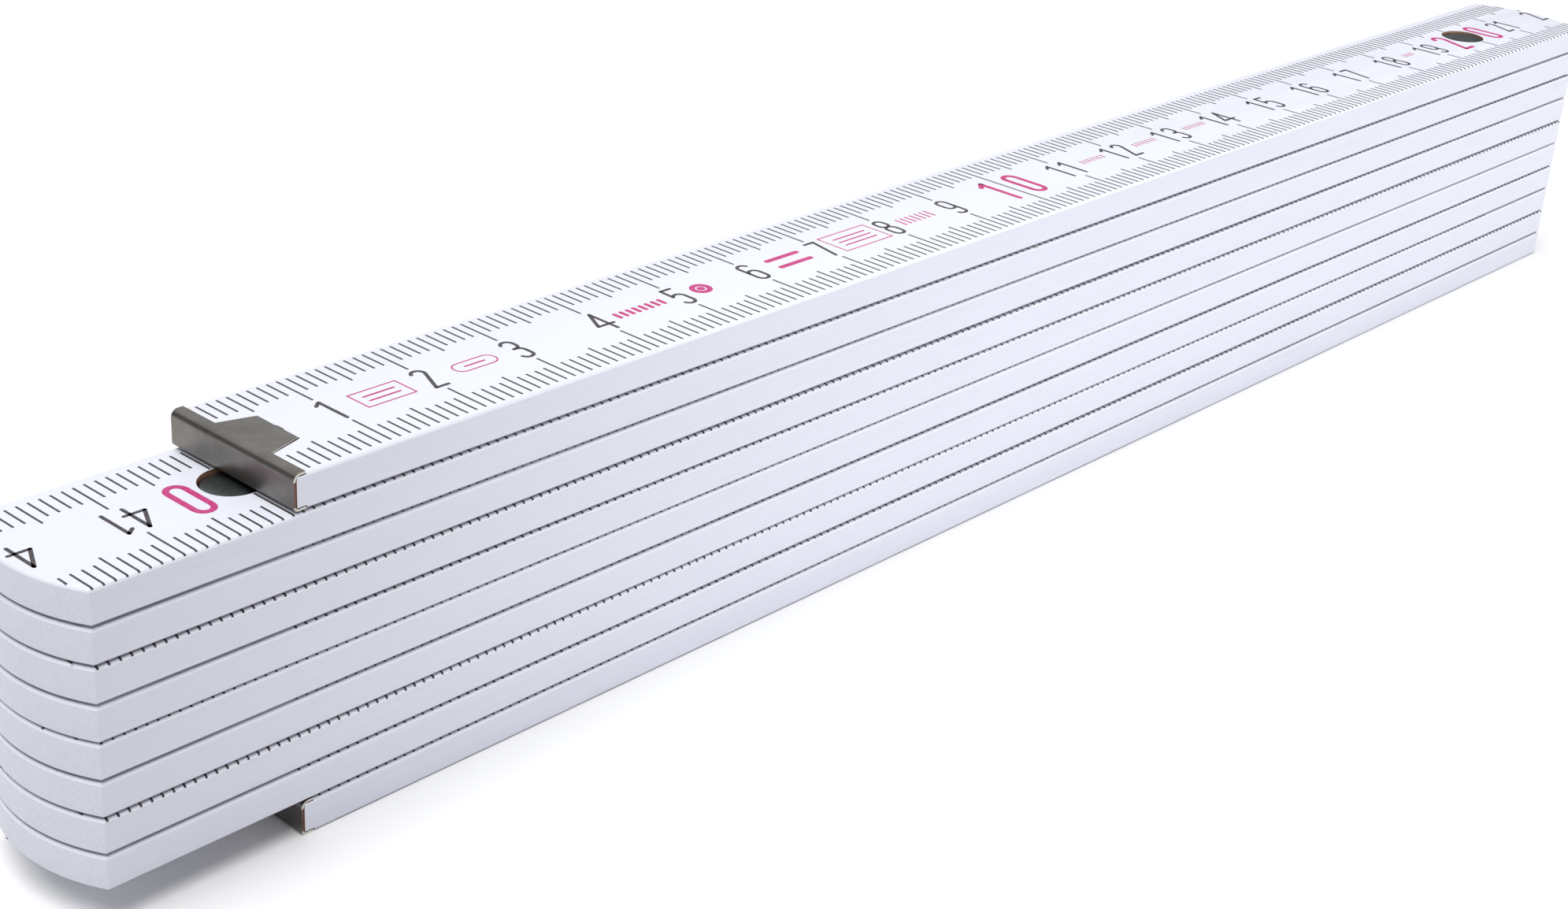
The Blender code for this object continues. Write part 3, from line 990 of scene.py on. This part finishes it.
def side_masks(tree):
    """How much a surface faces up or down, and how much it faces along the leaf."""
    coords = add_node(tree, "ShaderNodeTexCoord")
    parts = add_node(tree, "ShaderNodeSeparateXYZ", inputs={"Vector": coords.outputs["Normal"]})
    flat = maths(tree, "ABSOLUTE", parts.outputs["Z"], 0)
    end = maths(tree, "ABSOLUTE", parts.outputs["X"], 0)
    return ranged(tree, flat, 0.5, 0.9), ranged(tree, end, 0.5, 0.8)


def lacquer_shade(tree, is_flat, is_end, cloud):
    """How grey the lacquer is: grain and pores, mostly on the sides, clouds, and mottled ends."""
    grain = stretched_noise(tree, (28, 2600, 2600), 5.0, 0.65)
    pores = stretched_noise(tree, (180, 7000, 7000), 3.0, 0.6)
    speckle = stretched_noise(tree, (4200, 4200, 4200), 2.0, 0.6)
    streaks = maths(tree, "MULTIPLY", ranged(tree, grain, 0.42, 0.72), 0.55)
    marks = maths(tree, "ADD", streaks, ranged(tree, pores, 0.6, 0.76))
    on_side = maths(tree, "SUBTRACT", 1.0, maths(tree, "MULTIPLY", is_flat, 0.78))
    marks = maths(tree, "MULTIPLY", maths(tree, "MULTIPLY", marks, on_side), 0.16)
    shade = maths(tree, "ADD", marks, maths(tree, "MULTIPLY", cloud, 0.05))
    on_end = maths(tree, "MULTIPLY", is_end, 0.16)
    mottle = maths(tree, "MULTIPLY", ranged(tree, speckle, 0.35, 0.7), on_end)
    return maths(tree, "ADD", shade, mottle)


def with_worn_edges(tree, colour, cloud):
    """The lacquer's colour with chipped upper edges lightened as a painted highlight, and lower edges
    darkened as painted shade.
    """
    edge = add_node(tree, "ShaderNodeAttribute", {"attribute_name": "edge_kind"}).outputs["Fac"]
    is_upper = ranged(tree, edge, 0, 1)
    # The upper edges take a lighter colour as a painted highlight
    colour = mixed(tree, is_upper, colour, HIGHLIT_EDGE_LACQUER)
    chips = ranged(tree, stretched_noise(tree, (300, 1500, 1500), 4.0, 0.7), 0.67, 0.72)
    chipped = maths(tree, "MULTIPLY", maths(tree, "MULTIPLY", is_upper, chips), 0.6)
    colour = mixed(tree, chipped, colour, CHIPPED_EDGE)
    # Painted shade on the lower edges, a little uneven with the clouds
    gap_shade = ranged(tree, edge, -1, 0, 0.85, 0)
    gap_shade = maths(tree, "MULTIPLY", gap_shade, ranged(tree, cloud, 0.2, 0.6, 0.75, 1))
    return mixed(tree, gap_shade, colour, GAP_SHADE_COLOUR)


def lacquer_material():
    """White lacquer on wood: smooth on the faces, with grain telegraphing through on the sides. Its sides
    and lower edges carry painted shade, its upper edges a painted highlight.
    """
    material, tree, shader = new_material("white_lacquer")
    is_flat, is_end = side_masks(tree)
    cloud = stretched_noise(tree, (90, 160, 160), 3.0, 0.5)
    shade = lacquer_shade(tree, is_flat, is_end, cloud)
    # The sides take the darker colour as painted shade
    colour = mixed(tree, shade, mixed(tree, is_flat, SHADED_SIDE_LACQUER, TOP_LACQUER), GREYED_LACQUER)
    tree.links.new(with_worn_edges(tree, colour, cloud), shader.inputs["Base Color"])
    gloss = ranged(tree, stretched_noise(tree, (60, 500, 500), 3.0), 0.3, 0.7, 0.34, 0.5)
    tree.links.new(gloss, shader.inputs["Roughness"])
    peel = stretched_noise(tree, (1300, 2200, 2200), 2.0)
    relief = maths(tree, "SUBTRACT", maths(tree, "MULTIPLY", peel, 0.5), shade)
    bumped(tree, shader, relief, 0.04 * MM, 0.6)
    return material


def wood_material():
    """Bare wood where the leaf was bored and cut, orange-brown with dark fibres."""
    material, tree, shader = new_material("bare_wood")
    fibres = ranged(tree, stretched_noise(tree, (300, 3200, 3200), 5.0, 0.65), 0.35, 0.7)
    rings = ranged(tree, stretched_noise(tree, (20, 500, 500), 2.0), 0.4, 0.6)
    light = mixed(tree, rings, (0.52, 0.29, 0.19), (0.42, 0.21, 0.13))
    tree.links.new(mixed(tree, fibres, light, (0.22, 0.1, 0.06)), shader.inputs["Base Color"])
    tree.links.new(ranged(tree, fibres, 0, 1, 0.6, 0.85), shader.inputs["Roughness"])
    bumped(tree, shader, fibres, 0.05 * MM, 0.7)
    return material


def ink_material(name, thick, thin):
    """Printing ink, a little thinner here and there, with the lacquer's own sheen."""
    material, tree, shader = new_material(name)
    cover = stretched_noise(tree, (2600, 2600, 2600), 3.0, 0.6)
    tree.links.new(mixed(tree, ranged(tree, cover, 0.45, 0.75), thick, thin), shader.inputs["Base Color"])
    tree.links.new(ranged(tree, cover, 0.3, 0.7, 0.38, 0.55), shader.inputs["Roughness"])
    bumped(tree, shader, cover, 0.01 * MM, 0.4)
    return material


def steel_material(name, bright, dull, roughness, brushed_scale):
    """Metal with fine brush marks, faint stains and an uneven sheen."""
    material, tree, shader = new_material(name)
    brushed = stretched_noise(tree, brushed_scale, 3.0, 0.6)
    stains = stretched_noise(tree, (420, 420, 420), 4.0, 0.6)
    colour = mixed(tree, ranged(tree, stains, 0.35, 0.7), bright, dull)
    tree.links.new(colour, shader.inputs["Base Color"])
    shader.inputs["Metallic"].default_value = 1.0
    brush_share = maths(tree, "MULTIPLY", brushed, 0.6)
    uneven = maths(tree, "ADD", brush_share, maths(tree, "MULTIPLY", stains, 0.4))
    tree.links.new(ranged(tree, uneven, 0.35, 0.65, *roughness), shader.inputs["Roughness"])
    bumped(tree, shader, brushed, 0.003 * MM, 0.4)
    return material


# ---------------------------------------------------------------- stage


def add_camera():
    camera = bpy.data.cameras.new("camera")
    camera.lens = CAMERA_LENS
    camera.sensor_width = 36
    camera.clip_start = 0.01
    camera.dof.use_dof = False
    ahead = Vector(
        (
            math.sin(CAMERA_AZIMUTH) * math.cos(CAMERA_ELEVATION),
            math.cos(CAMERA_AZIMUTH) * math.cos(CAMERA_ELEVATION),
            -math.sin(CAMERA_ELEVATION),
        )
    )
    right = ahead.cross(Vector((0, 0, 1))).normalized()
    up = right.cross(ahead)
    rolled_right = math.cos(CAMERA_ROLL) * right + math.sin(CAMERA_ROLL) * up
    rolled_up = math.cos(CAMERA_ROLL) * up - math.sin(CAMERA_ROLL) * right
    turn = Matrix((rolled_right, rolled_up, -ahead)).transposed().to_4x4()
    obj = bpy.data.objects.new("camera", camera)
    bpy.context.scene.collection.objects.link(obj)
    obj.matrix_world = Matrix.Translation(CAMERA_PLACE) @ turn
    bpy.context.scene.camera = obj


def add_light(name, light, place, target):
    """Puts a light in the scene, turned to shine at its target."""
    obj = bpy.data.objects.new(name, light)
    bpy.context.scene.collection.objects.link(obj)
    obj.location = place
    obj.rotation_euler = (Vector(target) - Vector(place)).to_track_quat("-Z", "Y").to_euler()


def add_softbox(name, place, target, size, watts, spread):
    """A rectangular light whose rays fan out by the spread."""
    light = bpy.data.lights.new(name, "AREA")
    light.shape = "RECTANGLE"
    light.size, light.size_y = size
    light.energy = watts
    light.spread = spread
    add_light(name, light, place, target)


def add_sun():
    """A very wide sun, which lights the whole floor evenly."""
    light = bpy.data.lights.new("wide_sun", "SUN")
    light.energy = SUN_STRENGTH
    light.angle = SUN_WIDTH
    add_light("wide_sun", light, SUN_FROM, (0, 0, 0))


def add_floor():
    reach = FLOOR_REACH
    corners = [(-reach, -reach), (reach, -reach), (reach, reach), (-reach, reach)]
    floor_mesh = prism(corners, -FLOOR_DEPTH, 0, "floor")
    floor = mesh_object("floor", floor_mesh)
    material, _, shader = new_material("pale_floor")
    shader.inputs["Base Color"].default_value = (0.97, 0.97, 0.97, 1)
    shader.inputs["Roughness"].default_value = 0.9
    floor_mesh.materials.append(material)


def add_world():
    world = bpy.data.worlds.new("studio")
    bpy.context.scene.world = world
    world.use_nodes = True
    background = world.node_tree.nodes["Background"]
    background.inputs["Color"].default_value = (0.95, 0.965, 1.0, 1)
    background.inputs["Strength"].default_value = WORLD_STRENGTH


def add_stage():
    add_floor()
    add_world()
    add_sun()
    for name, looks in SOFTBOXES.items():
        add_softbox(name, *looks)
    bpy.context.scene.view_settings.view_transform = "Standard"


def main():
    lacquer = lacquer_material()
    wood = wood_material()
    inks = {name: ink_material(name, *looks) for name, looks in INKS.items()}
    steels = {name: steel_material(name, *looks) for name, looks in STEELS.items()}
    for leaf in range(1, LEAF_COUNT + 1):
        make_leaf(leaf, lacquer, wood)
        print_strip(leaf, leaf, True, inks)
        print_strip(LEAF_COUNT + 1 - leaf, leaf, False, inks)
    for leaf in (1, LEAF_COUNT):
        make_cap(leaf, steels)
    for joint in range(1, LEAF_COUNT):
        make_rivet(joint * STRIP_CM, steels["rivet_steel"])
    finish_plates(steels["joint_steel"])
    add_camera()
    add_stage()


main()
